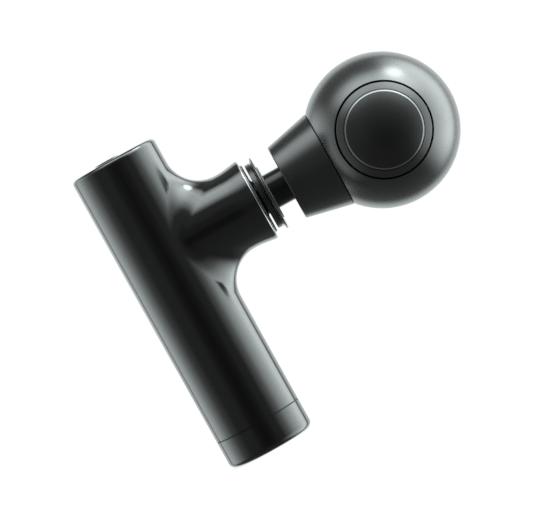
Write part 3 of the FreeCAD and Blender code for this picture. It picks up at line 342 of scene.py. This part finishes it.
PIECES = {
    "gunmetal_lacquer": ["housing_front", "housing_rear", "bottom_cap"],
    "top_face_dark": ["top_cap"],
    "button_satin": ["power_button"],
    "status_window_glow": ["status_window", "status_lamp", "top_lights"],
    "polished_chrome": ["neck_trim_ring"],
    "nose_dark": ["nose_plate"],
    "collar_gloss": ["shaft_collar"],
    "washer_satin": ["collar_washer"],
    "stem_gloss_black": ["head_stem"],
    "cone_charcoal": ["head_cone"],
    "side_ring_satin": ["side_rings"],
    "side_disc_dark": ["side_discs"],
    "black_rubber": ["wiper_seal", "isolation_pads", "plug_o_rings", "cap_gasket"],
    "turned_steel": ["motor_bearings", "motor_shaft", "stator_core", "rotor_magnets", "crank_disc",
                     "crank_pin", "crank_bearing", "shaft_key", "yoke", "yoke_pin", "frame_screws",
                     "motor_screws", "board_screws", "button_screws", "charge_socket"],
    "black_steel": ["cap_screws", "rotor_bell", "piston"],
    "cast_alloy": ["drive_frame", "motor_base"],
    "sintered_bronze": ["guide_bushes"],
    "copper_wire": ["stator_windings"],
    "nickel_strip": ["battery_tabs"],
    "cell_wrap": ["battery_cells"],
    "holder_black": ["battery_holder"],
    "board_green": ["control_board", "charge_board", "button_board"],
    "chip_black": ["control_chips", "charge_tongue", "button_switch", "switch_plunger"],
    "lead_red": ["motor_leads", "battery_leads"],
    "ribbon_amber": ["button_ribbon"],
    "core_grey": ["head_core"],
}

MATERIALS = {name: material(name, paint) for name, paint in PAINTS.items()}


def dress_nodes():
    """Give each CAD node its finish, all but the ball's skin, which is made anew below."""
    for name, nodes in PIECES.items():
        for node in nodes:
            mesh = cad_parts[node].data
            mesh.materials.clear()
            mesh.materials.append(MATERIALS[name])


# ---------------------------------------------------------------- the ball's soft skin

SKIN_LIP = 0.25 * MM
SKIN_LIP_STEPS = 4
SKIN_CONE_LIP = 0.35 * MM
SKIN_CONE_LIP_STEPS = 3
SKIN_CLEARANCE = 0.02 * MM
SIDE_RING_GAP = 0.65 * MM
AROUND_STEPS = 224
ARC_STEPS = 80
CUT_TOLERANCE = 0.001 * MM
SHARP_ANGLE = math.radians(40.0)


def sphere_arc(radius, opening):
    """Points of a sphere's section from one side opening to the other.

    Each is (distance from the side axis, place along it)."""
    edge = math.asin(opening / radius)
    angles = [edge + (math.pi - 2 * edge) * step / ARC_STEPS for step in range(ARC_STEPS + 1)]
    return [(radius * math.sin(angle), radius * math.cos(angle)) for angle in angles]


def skin_profile():
    """The closed section of the skin on one side of the side axis, with a rolled lip at each opening."""
    opening = SIDE_RING_RADIUS + SIDE_RING_GAP
    outer = sphere_arc(BALL_RADIUS, opening + SKIN_LIP)
    inner = sphere_arc(CORE_RADIUS + SKIN_CLEARANCE, opening)
    lip_centre = outer[0][1] - SKIN_LIP
    lip = []
    for step in range(1, SKIN_LIP_STEPS + 1):
        turn = math.radians(90.0) * step / SKIN_LIP_STEPS
        lip.append((opening + SKIN_LIP * (1 - math.sin(turn)), lip_centre + SKIN_LIP * math.cos(turn)))
    other_lip = [(radius, -place) for radius, place in reversed(lip)]
    return outer + other_lip + inner[::-1] + lip[::-1]


def lathe_about_y(shape, profile, centre):
    """A ring of quads: the closed profile turned about the side axis through centre."""
    rings = []
    for step in range(AROUND_STEPS):
        turn = 2 * math.pi * step / AROUND_STEPS
        rings.append([
            shape.verts.new(centre + Vector((radius * math.cos(turn), place, radius * math.sin(turn))))
            for radius, place in profile
        ])
    for here, there in zip(rings, rings[1:] + rings[:1]):
        for index in range(len(profile)):
            after = (index + 1) % len(profile)
            shape.faces.new((here[index], here[after], there[after], there[index]))


def cut_for_cone(shape):
    """Cut the skin flat where it meets the cone, close the cut, and round its outer rim."""
    everything = shape.verts[:] + shape.edges[:] + shape.faces[:]
    cut = bmesh.ops.bisect_plane(shape, geom=everything, dist=CUT_TOLERANCE, plane_co=(BALL_CUT_X, 0.0, 0.0),
                                 plane_no=(1.0, 0.0, 0.0), clear_inner=True)
    rims = [item for item in cut["geom_cut"] if isinstance(item, bmesh.types.BMEdge)]
    bmesh.ops.bridge_loops(shape, edges=rims)
    middle_of_wall = (BALL_RADIUS + CORE_RADIUS) / 2
    outer_rim = [edge for edge in rims
                 if edge.is_valid and (edge.verts[0].co - BALL_CENTRE).length > middle_of_wall]
    bmesh.ops.bevel(shape, geom=outer_rim, offset=SKIN_CONE_LIP, segments=SKIN_CONE_LIP_STEPS, profile=0.5,
                    affect="EDGES")


def add_ball_skin():
    """The moulded skin: a hollow ball, open at both sides and cut flat where it meets the cone."""
    shape = bmesh.new()
    lathe_about_y(shape, skin_profile(), BALL_CENTRE)
    cut_for_cone(shape)
    bmesh.ops.recalc_face_normals(shape, faces=shape.faces[:])
    mesh = bpy.data.meshes.new("ball_skin_moulded")
    shape.to_mesh(mesh)
    shape.free()
    mesh.shade_smooth()
    mesh.set_sharp_from_angle(angle=SHARP_ANGLE)
    mesh.materials.append(MATERIALS["ball_satin_skin"])
    skin = bpy.data.objects.new("ball_skin_moulded", mesh)
    bpy.context.scene.collection.objects.link(skin)
    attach(skin, "head")
    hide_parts("ball_skin")


# ---------------------------------------------------------------- camera

# The camera looks at the object's side, and is rolled so that the handle leans left. It stands a
# little above its target, and a little nearer to the head's end. VIEW_WIDTH is what the picture
# takes in at the object.
CAMERA_ROLL = math.radians(29.1)
CAMERA_DISTANCE = 1.6
CAMERA_PLACE = Vector((0.0617, -CAMERA_DISTANCE, NECK_Z + 0.0223))
CAMERA_TARGET = Vector((0.0389, 0.0, NECK_Z - 0.0257))
VIEW_WIDTH = 0.240
SENSOR_WIDTH_MM = 36.0


def add_camera():
    """The photograph's view of the object."""
    data = bpy.data.cameras.new("camera")
    data.sensor_width = SENSOR_WIDTH_MM
    data.lens = SENSOR_WIDTH_MM * CAMERA_DISTANCE / VIEW_WIDTH
    camera = bpy.data.objects.new("camera", data)
    bpy.context.scene.collection.objects.link(camera)
    up = Vector((math.sin(CAMERA_ROLL), 0.0, math.cos(CAMERA_ROLL)))
    back = (CAMERA_PLACE - CAMERA_TARGET).normalized()
    side = up.cross(back).normalized()
    axes = Matrix((side, back.cross(side), back)).transposed()
    camera.matrix_world = Matrix.Translation(CAMERA_PLACE) @ axes.to_4x4()
    bpy.context.scene.camera = camera


# ---------------------------------------------------------------- studio

# The studio is painted on the world, in the camera's own directions, so that every view is lit like
# the first. Turn is the angle in degrees round the line of sight, from the picture's right side
# towards its top. Depth is 1 behind the camera, 0 beside the object and -1 behind the object.
# A soft box has a middle and a half-width in turn, a soft edge to either side of that, and a
# brightness at each depth. One with no middle goes all the way round.
SOFT_BOXES = {
    "right": {
        "middle": 30.0, "half_width": 50.0, "soft_edge": 20.0,
        "by_depth": [(0.75, 0.0), (0.50, 0.50), (0.28, 1.4), (-0.40, 3.6), (-0.60, 2.7), (-0.68, 0.0)],
    },
    "top": {
        "middle": 101.0, "half_width": 41.0, "soft_edge": 25.0,
        "by_depth": [(0.70, 0.0), (0.45, 2.1), (0.15, 2.7), (-0.05, 1.4), (-0.15, 0.0)],
    },
    "left": {
        "middle": 201.0, "half_width": 32.0, "soft_edge": 16.0,
        "by_depth": [(0.60, 0.0), (0.28, 0.20), (-0.02, 0.8), (-0.40, 1.7), (-0.66, 1.6), (-0.70, 0.0)],
    },
    "fill": {
        "middle": None,
        "by_depth": [(1.0, 0.035), (0.96, 0.04), (0.88, 0.075), (0.0, 0.11), (-0.5, 0.2), (-0.70, 0.2)],
    },
    "upper_fill": {
        "middle": 119.0, "half_width": 105.0, "soft_edge": 40.0,
        "by_depth": [(1.0, 0.03), (0.96, 0.035), (0.88, 0.05), (0.5, 0.03), (0.0, 0.0)],
    },
}

# The white backdrop behind the object starts at the first depth and is full at the second.
BACKDROP_DEPTHS = (-0.70, -0.78)

# A small lamp above the object makes the glints. It fades between the two angles from its middle.
LAMP_TURN = math.radians(79.0)
LAMP_DEPTH = -0.08
LAMP_FULL_ANGLE = math.radians(3.0)
LAMP_END_ANGLE = math.radians(12.0)
LAMP_BRIGHTNESS = 6.3

# Straight ahead has no turn; this keeps the division by its sideways part in bounds.
SMALLEST_SIDEWAYS = 0.0001

# Bright light is a little cooler than dim light.
DIM = 0.1
BRIGHT = 0.9
DIM_TINT = (0.985, 1.0, 1.0, 1.0)
BRIGHT_TINT = (0.925, 1.0, 0.998, 1.0)
WHITE = (1.0, 1.0, 1.0, 1.0)


def brightness_by_depth(shader, depth, by_depth):
    """A curve of straight stretches through the (depth, brightness) pairs."""
    curve = shader.node("ShaderNodeValToRGB")
    peak = max(brightness for place, brightness in by_depth)
    stops = sorted(((place + 1) / 2, brightness / peak) for place, brightness in by_depth)
    elements = curve.color_ramp.elements
    while len(elements) < len(stops):
        elements.new(0.5)
    for element, (position, share) in zip(elements, stops):
        element.position = position
        element.color = (share, share, share, 1.0)
    shader.feed(shader.math("MULTIPLY_ADD", depth, 0.5, 0.5), curve.inputs["Fac"])
    return shader.math("MULTIPLY", curve.outputs["Color"], peak)


def soft_box(shader, across, up, depth, box):
    """The brightness of one soft box in the direction with the given turn and depth."""
    brightness = brightness_by_depth(shader, depth, box["by_depth"])
    if box["middle"] is None:
        return brightness
    middle = math.radians(box["middle"])
    towards = shader.math("ADD", shader.math("MULTIPLY", across, math.cos(middle)),
                          shader.math("MULTIPLY", up, math.sin(middle)))
    outside = math.cos(math.radians(box["half_width"] + box["soft_edge"]))
    inside = math.cos(math.radians(box["half_width"] - box["soft_edge"]))
    return shader.math("MULTIPLY", brightness, shader.ramp(towards, outside, inside))


def lamp(shader, direction):
    """The brightness of the small lamp in a direction given in the camera's axes."""
    sideways = math.sqrt(1 - LAMP_DEPTH ** 2)
    place = (sideways * math.cos(LAMP_TURN), sideways * math.sin(LAMP_TURN), -LAMP_DEPTH)
    towards = shader.vector_math("DOT_PRODUCT", direction, place)
    share = shader.ramp(towards, math.cos(LAMP_END_ANGLE), math.cos(LAMP_FULL_ANGLE))
    return shader.math("MULTIPLY", share, LAMP_BRIGHTNESS)


def studio_light(shader):
    """The brightness of the whole studio in each direction."""
    direction = shader.vector_math("NORMALIZE", shader.node("ShaderNodeTexCoord").outputs["Camera"])
    right, up, ahead = shader.parts(direction)
    squares = shader.math("ADD", shader.math("MULTIPLY", right, right), shader.math("MULTIPLY", up, up))
    sideways = shader.math("MAXIMUM", shader.math("SQRT", squares), SMALLEST_SIDEWAYS)
    across = shader.math("DIVIDE", right, sideways)
    above = shader.math("DIVIDE", up, sideways)
    depth = shader.math("MULTIPLY", ahead, -1.0)
    light = shader.ramp(depth, *BACKDROP_DEPTHS)
    light = shader.math("ADD", light, lamp(shader, direction))
    for box in SOFT_BOXES.values():
        light = shader.math("ADD", light, soft_box(shader, across, above, depth, box))
    return light


def background(shader, strength, colour):
    made = shader.node("ShaderNodeBackground")
    shader.feed(strength, made.inputs["Strength"])
    shader.feed(colour, made.inputs["Color"])
    return made.outputs[0]


def add_world():
    """The studio lights the object and shows in its reflections; the camera itself sees plain white."""
    world = bpy.data.worlds.new("studio")
    world.use_nodes = True
    world.node_tree.nodes.clear()
    shader = Shader(world.node_tree)
    light = studio_light(shader)
    tint = shader.mix(shader.ramp(light, DIM, BRIGHT), DIM_TINT, BRIGHT_TINT)
    chosen = shader.node("ShaderNodeMixShader")
    shader.feed(shader.node("ShaderNodeLightPath").outputs["Is Camera Ray"], chosen.inputs[0])
    shader.feed(background(shader, light, tint), chosen.inputs[1])
    shader.feed(background(shader, 1.0, WHITE), chosen.inputs[2])
    output = shader.node("ShaderNodeOutputWorld")
    shader.feed(chosen.outputs[0], output.inputs["Surface"])
    bpy.context.scene.world = world


# ---------------------------------------------------------------- floor

FLOOR_RADIUS = 1.2
FLOOR_SIDES = 96
FLOOR_Z = -0.2 * MM
FLOOR_BASE = (0.22, 0.22, 0.22, 1.0)
FLOOR_GLOW = 0.86


def paint_floor(shader, principled, coordinates):
    """Pale and plain, nearly as white as the backdrop."""
    set_inputs(principled, Roughness=0.9, Base_Color=FLOOR_BASE, Emission_Color=WHITE,
               Emission_Strength=FLOOR_GLOW)


def add_floor():
    """A plain pale floor under the base, seen by the camera but not mirrored in the object."""
    shape = bmesh.new()
    bmesh.ops.create_circle(shape, cap_ends=True, segments=FLOOR_SIDES, radius=FLOOR_RADIUS)
    mesh = bpy.data.meshes.new("floor")
    shape.to_mesh(mesh)
    shape.free()
    mesh.materials.append(material("floor_pale", paint_floor))
    floor = bpy.data.objects.new("floor", mesh)
    floor.location = (0.0, 0.0, FLOOR_Z)
    bpy.context.scene.collection.objects.link(floor)
    floor.visible_glossy = False
    floor.visible_diffuse = False


dress_nodes()
add_ball_skin()
add_camera()
add_world()
add_floor()
bpy.context.scene.view_settings.view_transform = "Standard"
bpy.context.scene.cycles.use_denoising = True
